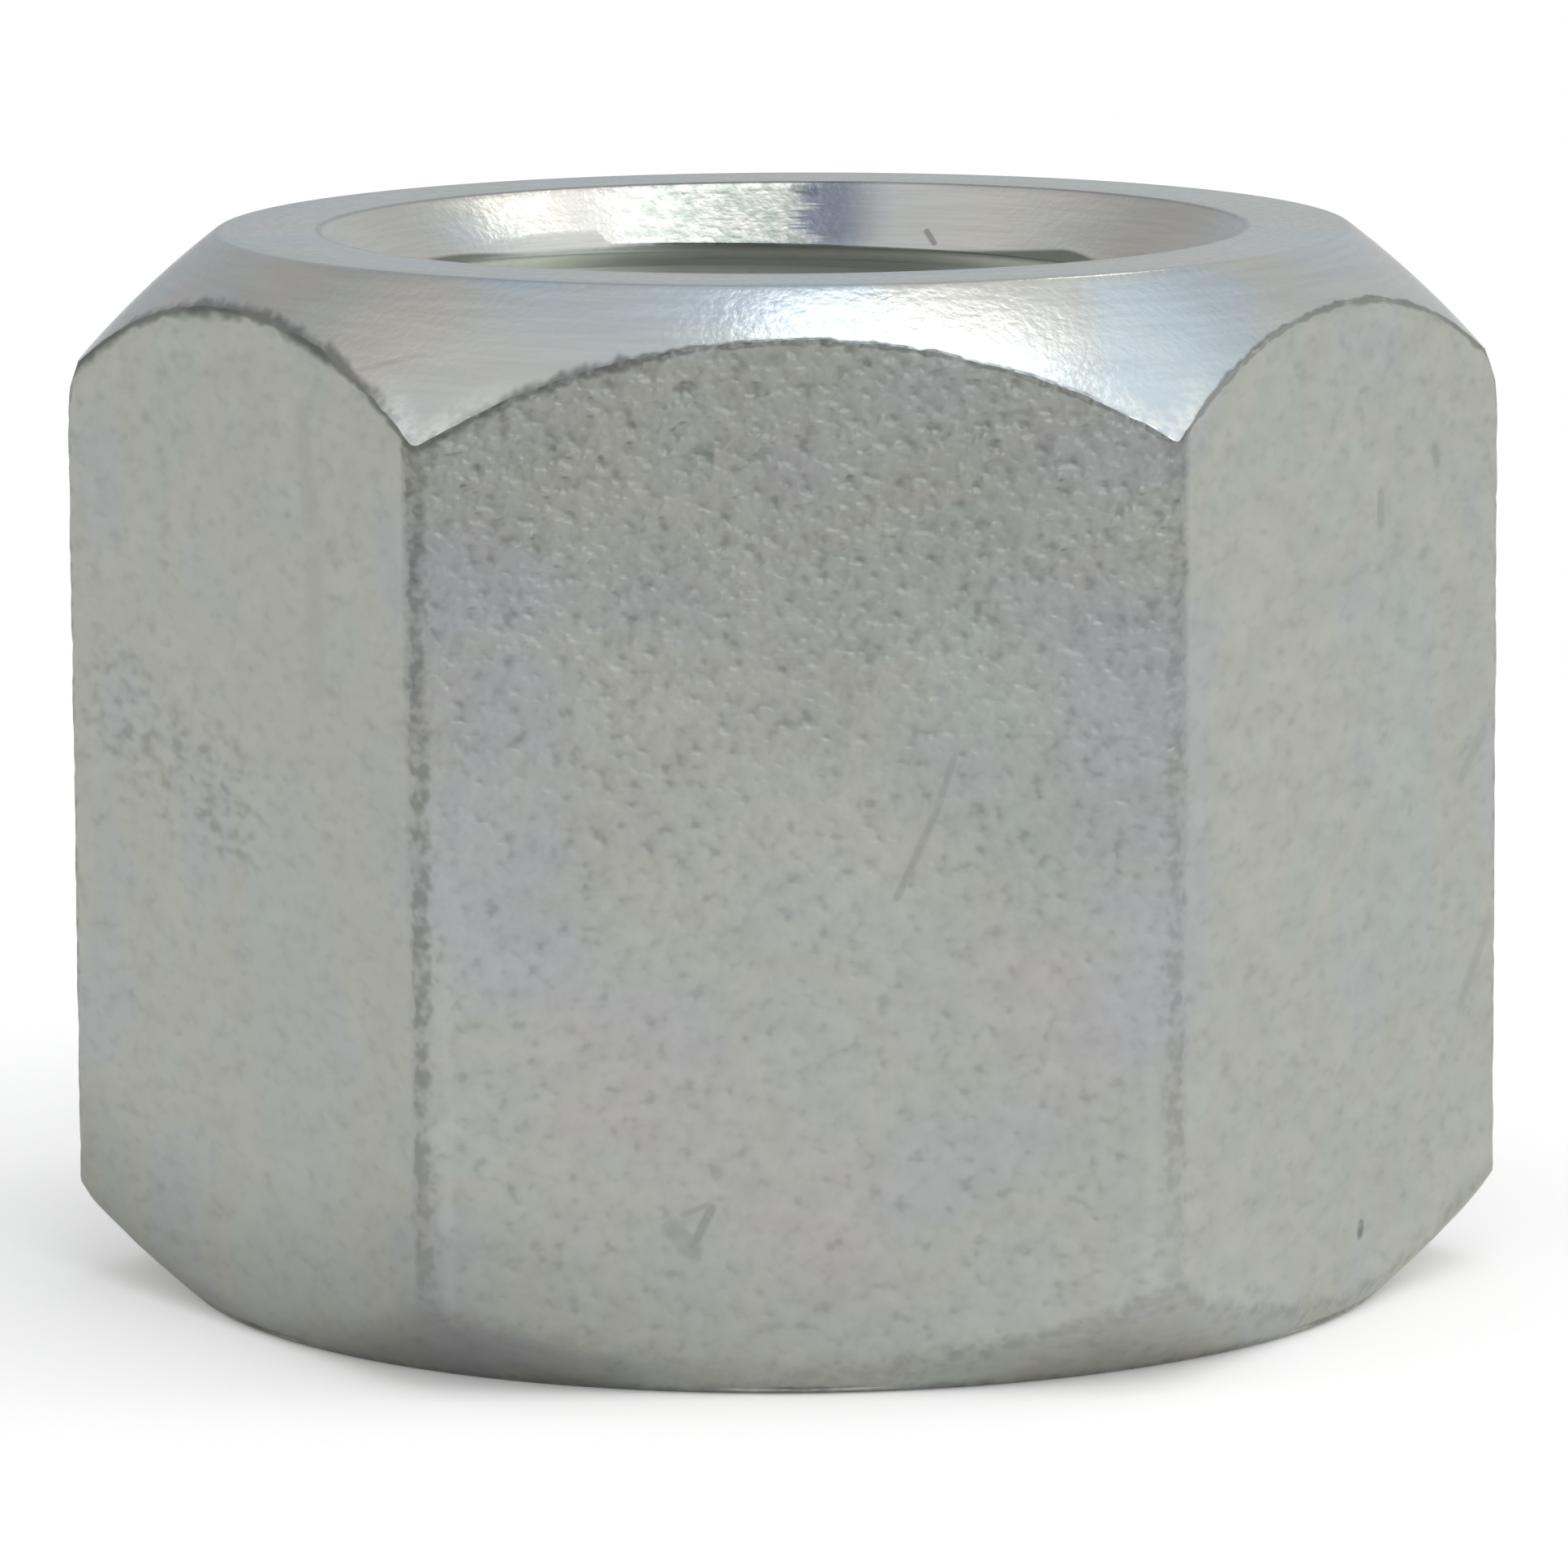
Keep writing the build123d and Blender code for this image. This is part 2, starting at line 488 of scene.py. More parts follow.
class Shader:
    """Builds one node material with short calls. Positions in it are millimetres in the part's frame."""

    def __init__(self, name):
        self.material = bpy.data.materials.new(name)
        self.material.use_nodes = True
        self.nodes = self.material.node_tree.nodes
        self.links = self.material.node_tree.links
        self.surface = self.nodes["Principled BSDF"]
        self.place = self.vector("SCALE", self.node("ShaderNodeTexCoord").outputs["Object"], scale=1 / MM)

    def node(self, kind, **settings):
        """A new node with its settings, such as operation or data_type."""
        node = self.nodes.new(kind)
        for key, value in settings.items():
            setattr(node, key, value)
        return node

    def feed(self, socket, value):
        """Links an output to a socket, or sets the socket to a plain value."""
        if isinstance(value, bpy.types.NodeSocket):
            self.links.new(value, socket)
        else:
            socket.default_value = value

    def vector(self, operation, *values, scale=None):
        """One step of vector arithmetic. A step that gives a number returns the number."""
        node = self.node("ShaderNodeVectorMath", operation=operation)
        for socket, value in zip(node.inputs, values):
            self.feed(socket, value)
        if scale is not None:
            self.feed(node.inputs["Scale"], scale)
        return node.outputs["Value" if operation in ("DOT_PRODUCT", "LENGTH") else "Vector"]

    def math(self, operation, *values):
        """One step of arithmetic on sockets and numbers."""
        node = self.node("ShaderNodeMath", operation=operation)
        for socket, value in zip(node.inputs, values):
            self.feed(socket, value)
        return node.outputs[0]

    def chain(self, operation, values):
        """One operation over several values, from the first to the last."""
        result = values[0]
        for value in values[1:]:
            result = self.math(operation, result, value)
        return result

    def plus(self, *values):
        """The sum of several values."""
        return self.chain("ADD", values)

    def times(self, *values):
        """The product of several values."""
        return self.chain("MULTIPLY", values)

    def largest(self, *values):
        """The largest of several values."""
        return self.chain("MAXIMUM", values)

    def profile(self, value, *stops):
        """A number that follows a value through stops of position and number, smooth between them.

        It is level before the first stop and after the last. With two stops, a position or a
        number may itself be a socket.
        """
        result = self.step(value, *stops[0], *stops[1])
        for (low, start), (high, end) in zip(stops[1:], stops[2:]):
            if start != end:
                result = self.plus(result, self.step(value, low, 0.0, high, end - start))
        return result

    def step(self, value, low, start, high, end):
        """A smooth change from start to end while the value goes from low to high."""
        node = self.node("ShaderNodeMapRange", interpolation_type="SMOOTHSTEP")
        for socket, number in zip(node.inputs, (value, low, high, start, end)):
            self.feed(socket, number)
        return node.outputs[0]

    def noise(self, size, shift, detail=0.0, place=None):
        """Noise from 0 to 1 with bumps of a given size. Each shift gives another pattern."""
        node = self.node("ShaderNodeTexNoise")
        offset = (shift * size,) * 3
        self.feed(node.inputs["Vector"], self.vector("ADD", place or self.place, offset))
        node.inputs["Scale"].default_value = 1 / size
        node.inputs["Detail"].default_value = detail
        return node.outputs["Fac"]

    def mix(self, share, first, second):
        """A colour between two others."""
        node = self.node("ShaderNodeMix", data_type="RGBA")
        self.feed(node.inputs[0], share)
        self.feed(node.inputs[6], first)
        self.feed(node.inputs[7], second)
        return node.outputs[2]

    def dimmed(self, colour, factor):
        """A colour times a number."""
        return self.vector("SCALE", colour, scale=factor)

    def gradient(self, value, stops):
        """A colour from stops of position and colour."""
        node = self.node("ShaderNodeValToRGB")
        self.feed(node.inputs[0], value)
        elements = node.color_ramp.elements
        for element, (position, _) in zip(elements, (stops[0], stops[-1])):
            element.position = position
        for position, _ in stops[1:-1]:
            elements.new(position)
        for element, (_, colour) in zip(elements, stops):
            element.color = (*colour, 1.0)
        return node.outputs[0]

    def attribute(self, name):
        """A number that the mesh holds for each point."""
        return self.node("ShaderNodeAttribute", attribute_name=name).outputs["Fac"]

    def split(self, vector):
        """The three parts of a vector."""
        node = self.node("ShaderNodeSeparateXYZ")
        self.feed(node.inputs[0], vector)
        return tuple(node.outputs)

    def joined(self, *parts):
        """A vector from three parts."""
        node = self.node("ShaderNodeCombineXYZ")
        for socket, part in zip(node.inputs, parts):
            self.feed(socket, part)
        return node.outputs[0]

    def stroke(self, start, end, width):
        """A line between two points: 1 close to it and 0 further from it than its width."""
        length = (end - start).length
        direction = tuple((end - start) / length)
        offset = self.vector("SUBTRACT", self.place, tuple(start))
        along = self.vector("DOT_PRODUCT", offset, direction)
        along = self.math("MINIMUM", self.math("MAXIMUM", along, 0.0), length)
        nearest = self.vector("SCALE", direction, scale=along)
        distance = self.vector("LENGTH", self.vector("SUBTRACT", offset, nearest))
        return self.profile(distance, (width * STROKE_CORE, 1.0), (width, 0.0))

    def relief(self, height):
        """Bumps from a height in millimetres."""
        node = self.node("ShaderNodeBump")
        node.inputs["Distance"].default_value = MM
        self.feed(node.inputs["Height"], height)
        self.links.new(node.outputs[0], self.surface.inputs["Normal"])

    def metal(self, colour, roughness):
        """Sets the metal's colour and roughness."""
        self.feed(self.surface.inputs["Base Color"], colour)
        self.feed(self.surface.inputs["Roughness"], roughness)
        self.surface.inputs["Metallic"].default_value = 1.0


def on_flat(flat, along, height):
    """The point of a flat at a distance to the right of its middle line and at a height."""
    turn = radians(FLAT_TURNS[flat])
    across = Vector((cos(turn), sin(turn), 0)) * FLAT
    return across + Vector((-sin(turn), cos(turn), 0)) * along + Vector((0, 0, height))


# ------------------------------------------------ colours and marks of the zinc

# Films on the forged zinc
LILAC = (0.428, 0.430, 0.448, 1)
HEATHER = (0.434, 0.428, 0.423, 1)
PINK = (0.450, 0.430, 0.425, 1)
STRAW = (0.452, 0.452, 0.398, 1)
SEA = (0.418, 0.450, 0.428, 1)
FORGED_FILMS = (
    (0.30, (0.428, 0.438, 0.430)),
    (0.42, (0.436, 0.444, 0.407)),
    (0.52, (0.438, 0.449, 0.399)),
    (0.60, (0.446, 0.444, 0.400)),
    (0.72, (0.427, 0.452, 0.412)),
)
# Wider clouds of film: flat, start and end as distance along it and height, width, colour, strength
CLOUDS = (
    ("front", (-7.5, 20.0), (-7.2, 12.0), 2.8, LILAC, 0.9),
    ("front", (8.0, 18.0), (8.2, 9.5), 2.4, LILAC, 0.8),
    ("front", (-4.5, 8.0), (0.5, 4.5), 3.4, PINK, 0.7),
    ("front", (5.5, 11.0), (6.5, 8.5), 2.2, PINK, 0.7),
    ("front", (-3.0, 17.0), (1.5, 14.0), 3.2, STRAW, 0.7),
    ("front", (4.2, 20.5), (5.5, 14.5), 2.2, SEA, 0.9),
    ("left", (2.45, 12.5), (3.34, 3.5), 3.0, SEA, 0.8),
    ("right", (3.69, 17.5), (3.47, 10.0), 2.8, SEA, 0.9),
    ("right", (-4.73, 20.0), (-4.73, 11.0), 2.4, STRAW, 0.7),
)
# Scratches and dents: flat, start and end as distance along it and height, width, strength
SCRATCHES = (
    ("front", (3.80, 15.85), (3.38, 14.55), 0.14, 0.34),
    ("front", (3.38, 14.55), (2.40, 12.40), 0.15, 0.40),
    ("front", (4.85, 19.60), (4.62, 18.00), 0.13, 0.20),
    ("front", (5.90, 20.85), (9.05, 21.10), 0.10, 0.20),
    ("front", (5.10, 16.35), (8.20, 16.25), 0.10, 0.18),
    ("front", (1.95, 19.75), (0.75, 18.45), 0.14, 0.24),
    ("front", (-3.10, 4.25), (-2.65, 3.75), 0.40, 0.42),
    ("front", (-2.65, 3.75), (-2.15, 4.75), 0.18, 0.50),
    ("front", (-2.85, 4.60), (-2.20, 4.85), 0.12, 0.34),
    ("left", (3.65, 23.70), (3.91, 21.13), 0.55, 0.18),
    ("left", (4.13, 20.19), (4.21, 16.97), 0.70, 0.16),
    ("right", (1.05, 2.20), (1.11, 2.36), 0.26, 1.0),
    ("right", (2.09, 20.90), (2.10, 20.25), 0.32, 0.42),
    ("right", (5.24, 21.69), (5.39, 21.41), 0.34, 0.40),
    ("right", (6.92, 13.00), (8.31, 14.10), 0.34, 0.26),
    ("right", (6.92, 7.10), (8.44, 8.80), 0.34, 0.26),
)
RUBBED_PATCH = ("left", (-6.70, 15.2), (-0.55, 13.3), 2.4)

# Painted reflection of a bluish sky on the near seat, and films on the turned zinc
SKY_REFLECTION = (0.555, 0.64, 0.70, 1)
TURNED_FILMS = (
    (0.32, (0.540, 0.595, 0.642)),
    (0.50, (0.585, 0.595, 0.580)),
    (0.66, (0.610, 0.590, 0.555)),
)
# Nicks in the countersink, at its mouth and on the ball seat: start and end, width, strength
NICKS = (
    ((4.02, 9.90, 26.03), (4.20, 9.50, 25.75), 0.12, 0.55),
    ((0.60, 11.68, 27.03), (1.03, 11.54, 26.96), 0.26, 0.45),
    ((-10.80, -13.16, 24.99), (-8.99, -13.87, 25.48), 0.14, 0.12),
)

TURNING_WIDTH = 0.12  # of a turning mark
TURNING_CHANGES = 5.0  # along a mark, for each radian round the axis
TURNING_LEAN = 0.37  # share of the height that counts as distance across the marks

# Dark colour of pits, scratches and edge lines; along the arcs and round the rim it is painted shade
FORGED_GRIME_AND_SHADE = (0.10, 0.106, 0.098, 1)
# Dark colour of nicks and mouth lines; along the arcs it is painted shade
TURNED_GRIME_AND_SHADE = (0.12, 0.125, 0.12, 1)
# worn bare metal, light enough to be a painted glint
RUBBED_METAL_AND_GLINT = (0.78, 0.79, 0.77, 1)
STREAK_GREY = (0.34, 0.38, 0.345, 1)
# painted dark blue reflection in the countersink
REFLECTION_BLUE = (0.17, 0.19, 0.25, 1)
# painted shade where the thread begins
FIRST_TURN_SHADE = (0.20, 0.21, 0.19, 1)
BORE_WALL = (0.48, 0.495, 0.46)


# ------------------------------------------------ forged zinc

class ForgedZinc(Shader):
    """Matte zinc over the forged skin. Each method gives one layer of its look."""

    def __init__(self):
        super().__init__("forged_zinc")
        self.x, self.y, self.z = self.split(self.place)
        self.corner = self.attribute("corner")
        self.arc = self.attribute("arc")
        self.above_cone = self.attribute("above_cone")
        self.cone = self.profile(self.above_cone, (-0.5, 1.0), (0.4, 0.0))
        flattened = self.vector("MULTIPLY", self.place, (1.0, 0.35, 1.15))
        self.cloud = self.noise(size=0.8, shift=4, detail=2.0, place=flattened)
        self.grain = self.noise(size=0.38, shift=5, detail=1.0, place=flattened)
        self.mottle = self.noise(size=0.34, shift=6, detail=1.0)
        self.front = self.on_front(1.0, 0.0)
        uneven_height = self.plus(self.z, self.times(self.noise(size=4.0, shift=1), 9.0), -4.5)
        self.upper_front = self.times(self.front, self.profile(uneven_height, (9.0, 0.0), (25.5, 1.0)))

    def flat_stroke(self, flat, start, end, width):
        """A line on one of the flats."""
        return self.stroke(on_flat(flat, *start), on_flat(flat, *end), width)

    def on_front(self, there, elsewhere):
        """One number on the front flat and another behind it."""
        return self.profile(self.y, (-FLAT + 0.3, there), (-FLAT + 0.7, elsewhere))

    def films(self):
        """The soft tints of the plating: straw, green, blue and lilac films over grey."""
        tint = self.gradient(self.noise(size=3.4, shift=2), FORGED_FILMS)
        heather = self.profile(self.noise(size=2.4, shift=3), (0.52, 0.0), (0.74, self.on_front(0.5, 0.1)))
        tint = self.mix(heather, tint, HEATHER)
        torn = self.profile(self.noise(size=1.6, shift=9), (0.3, 0.5), (0.7, 1.0))
        for flat, start, end, width, film, strength in CLOUDS:
            share = self.times(self.flat_stroke(flat, start, end, width), strength, torn)
            tint = self.mix(share, tint, film)
        return tint

    def brightness(self):
        """How light the zinc is: painted shade on the upper front and low down, a painted highlight beside
        the edges.
        """
        cloudy = self.profile(self.cloud, (0.25, 0.93), (0.75, 1.07))
        # painted shade: the upper front is darker
        flats = self.plus(1.03, self.times(self.front, -0.04), self.times(self.upper_front, -0.22))
        # painted shade and light on the lower cone, changing from left to right
        cone_tones = ((-6.0, -0.17), (0.0, 0.08), (1.0, 0.08), (5.0, -0.11), (9.0, -0.11), (13.0, 0.01))
        cone = self.plus(1.0, self.times(self.cone, self.profile(self.x, *cone_tones)))
        # painted shade low down, strongest on the left
        foot = self.profile(self.x, (-10.0, 0.75), (10.0, 1.04))
        foot = self.profile(self.above_cone, (-0.5, foot), (4.5, 1.0))
        # a painted highlight in a thin line beside the upright edges, low on the front flat
        beside_edge = self.math("ABSOLUTE", self.plus(self.corner, -0.65))
        painted_highlight = self.profile(beside_edge, (0.0, 0.06), (0.3, 0.0))
        low = self.profile(self.z, (4.0, 1.0), (14.0, 0.0))
        return self.plus(self.times(cloudy, flats, cone, foot), self.times(painted_highlight, self.front, low))

    def specks(self):
        """Hollows and pits, darker on the upper front and in the patch of the left flat that RUBBED_PATCH
        gives.
        """
        patch = self.flat_stroke(*RUBBED_PATCH)
        level = self.plus(self.grain, self.times(patch, 0.08), self.times(self.front, 0.02))
        hollow = self.profile(level, (0.43, 0.0), (0.84, 1.0))
        hollow_shade = self.plus(0.15, self.times(self.upper_front, 0.10), self.times(patch, 0.15))
        pit = self.profile(level, (0.63, 0.0), (0.82, 1.0))
        pit_shade = self.plus(0.05, self.times(self.front, 0.07), self.times(self.upper_front, 0.16))
        return self.plus(self.times(hollow, hollow_shade), self.times(pit, pit_shade))

    def scratches(self):
        """Scratches and dents, broken up by the grain."""
        strokes = []
        for flat, start, end, width, strength in SCRATCHES:
            strokes.append(self.times(self.flat_stroke(flat, start, end, width), strength))
        broken = self.profile(self.grain, (0.3, 0.75), (0.6, 1.1))
        return self.times(self.largest(*strokes), broken, 0.6)

    def upright_edges(self):
        """Mottled dark lines down the upright edges, wider under the seat and weaker at the foot."""
        flare = self.profile(self.arc, (0.0, -0.4), (1.3, 0.0))
        flare = self.times(flare, self.profile(self.x, (-4.0, 1.0), (4.0, 0.5)))
        from_edge = self.plus(self.corner, self.times(self.mottle, 0.5), flare, -0.25)
        line = self.profile(from_edge, (0.08, 1.0), (0.42, 0.0))
        mottling = self.profile(self.mottle, (0.34, 0.49), (0.66, 0.16))
        left = self.profile(self.z, (2.0, 0.6), (9.0, 1.0))
        right = self.profile(self.z, (2.5, 0.3), (8.0, 0.65))
        share = self.profile(self.x, (-4.0, left), (4.0, right))
        off_cone = self.profile(self.cone, (0.0, 1.0), (0.6, 0.0))
        return self.times(line, mottling, share, off_cone)

    def seat_edge(self):
        """Painted shade in a line along the arcs under the ball seat, heavy on the left."""
        heavy = self.profile(self.x, (-5.0, 1.0), (-2.5, 0.1), (12.0, 0.1), (14.0, 0.5))
        heavy = self.times(heavy, self.profile(self.noise(size=2.0, shift=8), (0.35, 0.4), (0.6, 1.0)))
        thick = self.plus(self.times(heavy, 0.2), 0.05)
        from_arc = self.plus(self.arc, self.times(self.grain, 0.34), -0.17)
        line = self.profile(self.math("DIVIDE", from_arc, thick), (0.0, 1.0), (1.6, 0.0))
        share = self.plus(self.times(heavy, 0.35), self.profile(self.x, (8.5, 0.5), (10.5, 0.4)))
        return self.times(line, share)

    def foot_edges(self):
        """Painted shade round the flat end's rim, where it meets the floor, and a mottled dark line along
        the top of the lower cone.
        """
        # painted shade at the foot of the nut
        rim = self.profile(self.plus(self.z, self.times(self.mottle, 0.5)), (0.15, 0.5), (0.6, 0.0))
        from_seam = self.math("ABSOLUTE", self.plus(self.above_cone, self.times(self.cloud, 1.2), -0.7))
        seam = self.profile(from_seam, (0.0, 0.2), (0.5, 0.0))
        share = self.profile(self.x, (-4.0, 0.4), (5.0, 1.0))
        mottling = self.profile(self.mottle, (0.35, 0.6), (0.65, 1.5))
        return self.largest(rim, self.times(seam, share, mottling))

    def dents(self):
        """Height of the skin: hammered on the front flat, more so towards the top, and grainy."""
        depth = self.times(self.front, self.profile(self.z, (8.0, -0.05), (25.5, -0.27)))
        fine = self.times(self.noise(size=0.16, shift=7), 0.004)
        return self.plus(self.times(self.grain, depth), fine)


def forged_zinc():
    """Matte zinc over a forged skin, with films, pits, scratches, dark edges, painted shade and a painted
    highlight.
    """
    zinc = ForgedZinc()
    colour = zinc.dimmed(zinc.films(), zinc.brightness())
    # dark edge lines; along the arcs and round the rim they are painted shade
    edges = zinc.largest(zinc.upright_edges(), zinc.seat_edge(), zinc.foot_edges())
    dark = zinc.largest(zinc.specks(), zinc.scratches(), edges)
    colour = zinc.mix(dark, colour, FORGED_GRIME_AND_SHADE)
    zinc.metal(colour, zinc.profile(zinc.cloud, (0.3, 0.48), (0.7, 0.58)))
    zinc.relief(zinc.dents())
    return zinc.material


# ------------------------------------------------ turned zinc

class TurnedZinc(Shader):
    """Bright zinc over the seat, ring, countersinks and bore. Each method gives one layer of its look."""

    def __init__(self):
        super().__init__("turned_zinc")
        self.x, self.y, self.z = self.split(self.place)
        self.radius = self.math("SQRT", self.plus(self.times(self.x, self.x), self.times(self.y, self.y)))
        self.corner = self.attribute("corner")
        self.arc = self.attribute("arc")
        self.rings = self.turning_marks()
        self.grains = self.noise(size=0.22, shift=3, detail=2.0)
        self.inside = self.profile(self.radius, (MOUTH_RADIUS + 0.05, 1.0), (MOUTH_RADIUS + 0.25, 0.0))
        self.within = self.profile(self.radius, (MOUTH_RADIUS - 0.55, 1.0), (MOUTH_RADIUS - 0.35, 0.0))
        self.near_tip = self.profile(self.corner, (0.6, 1.0), (2.6, 0.0))
        self.depth = self.math("MINIMUM", self.z, self.plus(HEIGHT, self.times(self.z, -1.0)))
        self.beyond_cone = self.plus(self.radius, self.depth, -MOUTH_RADIUS)

    def turning_marks(self):
        """Noise in rings round the axis."""
        across = self.plus(self.radius, self.times(self.z, TURNING_LEAN))
        circle = self.joined(self.x, self.y, 0.0)
        circle = self.vector("SCALE", circle, scale=self.math("DIVIDE", TURNING_CHANGES, self.radius))
        rings = self.joined(0.0, 0.0, self.math("DIVIDE", across, TURNING_WIDTH))
        return self.noise(size=1.0, shift=2, detail=1.0, place=self.vector("ADD", circle, rings))

    def films(self):
        """The thin film's tint, straw at its tips, on the far side and inside; the blue on the near seat is
        painted reflection of a bluish sky.
        """
        behind = self.plus(0.10, self.times(self.inside, 0.02))
        warm = self.profile(self.y, (-12.0, 0.0), (-6.0, behind))
        left_inside = self.times(self.inside, self.profile(self.x, (-9.0, 0.12), (-6.0, 0.0)))
        tips = self.profile(self.corner, (0.8, 0.12), (2.8, 0.0))
        on_seat = self.profile(self.radius, (RING_RADIUS, 0.0), (RING_RADIUS + 0.5, 1.0))
        # painted reflection: the near seat is bluer on the right
        cool = self.profile(self.x, (3.0, 0.0), (7.0, -0.2), (10.0, -0.2), (13.0, 0.0))
        film = self.plus(self.noise(size=4.0, shift=1), warm, left_inside, tips, self.times(cool, on_seat))
        tint = self.gradient(film, TURNED_FILMS)
        # painted reflection of a bluish sky on the near seat's right
        sky_reflection = self.profile(self.x, (6.6, 0.0), (8.0, 1.0), (9.4, 1.0), (10.8, 0.0))
        near = self.profile(self.y, (-13.0, 0.8), (-11.0, 0.0))
        return self.mix(self.times(sky_reflection, near, on_seat), tint, SKY_REFLECTION)

    def streaks(self):
        """Torn grey streaks across the glare on the countersink's far side."""
        glare = self.profile(self.x, (-5.5, 0.0), (-3.0, 1.0), (0.6, 1.0), (1.2, 0.0))
        far_side = self.profile(self.y, (9.0, 0.0), (10.0, 1.0))
        blotch = self.times(self.noise(size=0.5, shift=8, detail=2.0), 0.75)
        blotch = self.plus(blotch, self.times(self.rings, 0.25))
        torn = self.profile(blotch, (0.36, 0.90), (0.6, 0.32))
        return self.times(self.inside, far_side, glare, torn)

    def blue_reflection(self):
        """A painted dark blue reflection beside the glare, with a torn left edge."""
        torn = self.plus(self.x, self.times(self.plus(self.rings, -0.5), 2.0))
        left = self.profile(torn, (0.5, 0.0), (1.1, 1.0))
        right = self.profile(self.x, (1.4, 1.0), (3.4, 0.0))
        far_side = self.profile(self.y, (9.5, 0.0), (10.5, 0.85), (11.7, 0.85), (12.0, 0.0))
        upper_end = self.profile(self.z, (12.0, 0.0), (15.0, 1.0))
        return self.times(left, right, far_side, upper_end)

    def dark_edges(self):
        """Painted shade in a line along the arcs, dark lines round the mouths, and a few nicks."""
        left = self.profile(self.x, (-5.0, 1.0), (-3.0, 0.0))
        flattened = self.vector("MULTIPLY", self.place, (1.0, 0.4, 0.4))
        scallop = self.plus(self.noise(size=0.4, shift=6, detail=1.0, place=flattened), -0.5)
        scallop = self.times(scallop, self.plus(self.times(left, 0.35), 0.2))
        reach = self.plus(self.times(left, 0.18), 0.09)
        # painted shade under the rolled lip, weaker at the tips
        line = self.profile(self.plus(self.arc, scallop), (0.0, 0.70), (reach, 0.0))
        line = self.times(line, self.plus(1.0, self.times(self.near_tip, -0.6)))
        from_mouth = self.math("ABSOLUTE", self.plus(self.radius, -MOUTH_RADIUS - 0.04))
        mouth = self.profile(from_mouth, (0.03, 0.4), (0.13, 0.0))
        nicks = []
        for start, end, width, strength in NICKS:
            nicks.append(self.times(self.stroke(Vector(start), Vector(end), width), strength))
        return self.largest(line, mouth, *nicks)

    def rubbed_and_glinting_tips(self):
        """Bare metal with a painted glint where the seat's tips meet the upright edges."""
        painted_highlight = self.profile(self.grains, (0.35, 0.25), (0.65, 0.85))
        return self.times(self.near_tip, self.profile(self.arc, (0.1, painted_highlight), (0.8, 0.0)))

    def shaded_first_turn(self):
        """Painted shade where the thread begins inside the countersinks, a little later on the far side and
        the right.
        """
        sooner = self.profile(self.y, (6.0, 0.3), (9.5, 0.0))
        sooner = self.times(sooner, self.profile(self.x, (7.4, 1.0), (8.6, 0.0)))
        cone_depth = MOUTH_RADIUS - BORE_RADIUS
        past_cone = self.plus(self.depth, sooner, -cone_depth)
        begun = self.profile(past_cone, (-0.1, 0.0), (0.02, 1.0))
        return self.times(begun, self.within)

    def bore(self):
        """Where the surface has left the countersink's cone."""
        return self.times(self.profile(self.beyond_cone, (0.02, 0.0), (0.12, 1.0)), self.within)

    def bore_colour(self):
        """The thread's dull tint with painted light and shade: lighter at both sides and darker close to
        the cone.
        """
        # painted light at both sides and on the left
        light = self.profile(self.y, (8.4, 1.58), (10.6, 0.96))
        light = self.plus(light, self.profile(self.x, (-7.0, 0.22), (-2.0, 0.0)))
        # painted shade close to the cone
        light = self.times(light, self.profile(self.beyond_cone, (0.05, 0.5), (0.4, 1.0)))
        return self.dimmed(BORE_WALL, light)

    def marks(self):
        """Height of the surface: fine turning rings, grain and slow waves."""
        rings = self.times(self.rings, 0.0015)
        grains = self.times(self.grains, 0.0105)
        return self.plus(rings, grains, self.times(self.noise(size=1.3, shift=5), 0.01))


def turned_zinc():
    """Bright zinc over a turned surface, with faint marks round the axis and a fine grain."""
    zinc = TurnedZinc()
    colour = zinc.dimmed(zinc.films(), zinc.profile(zinc.rings, (0.3, 0.95), (0.7, 1.03)))
    colour = zinc.mix(zinc.streaks(), colour, STREAK_GREY)
    # painted dark blue reflection beside the glare
    colour = zinc.mix(zinc.blue_reflection(), colour, REFLECTION_BLUE)
    colour = zinc.mix(zinc.dark_edges(), colour, TURNED_GRIME_AND_SHADE)
    # worn tips with a painted glint
    colour = zinc.mix(zinc.rubbed_and_glinting_tips(), colour, RUBBED_METAL_AND_GLINT)
    # painted shade where the thread begins
    shaded_first_turn = zinc.shaded_first_turn()
    colour = zinc.mix(shaded_first_turn, colour, FIRST_TURN_SHADE)
    # the bore's tint, with painted light and shade
    bore = zinc.bore()
    colour = zinc.mix(bore, colour, zinc.bore_colour())
    shine = zinc.profile(zinc.grains, (0.3, 0.19), (0.7, 0.27))
    zinc.metal(colour, zinc.plus(shine, zinc.times(zinc.largest(bore, shaded_first_turn), 0.35)))
    zinc.relief(zinc.marks())
    return zinc.material


# ------------------------------------------------ the floor's material

FLOOR_WHITE = (0.945, 0.92, 0.917, 1)
WHITENING = 0.18  # what the floor adds to its own shade where it is seen
METAL_WHITENING = 0.14  # and where the metal mirrors it
SHADOW_FADE = (35.0, 75.0)  # between these distances the seen floor turns to plain white


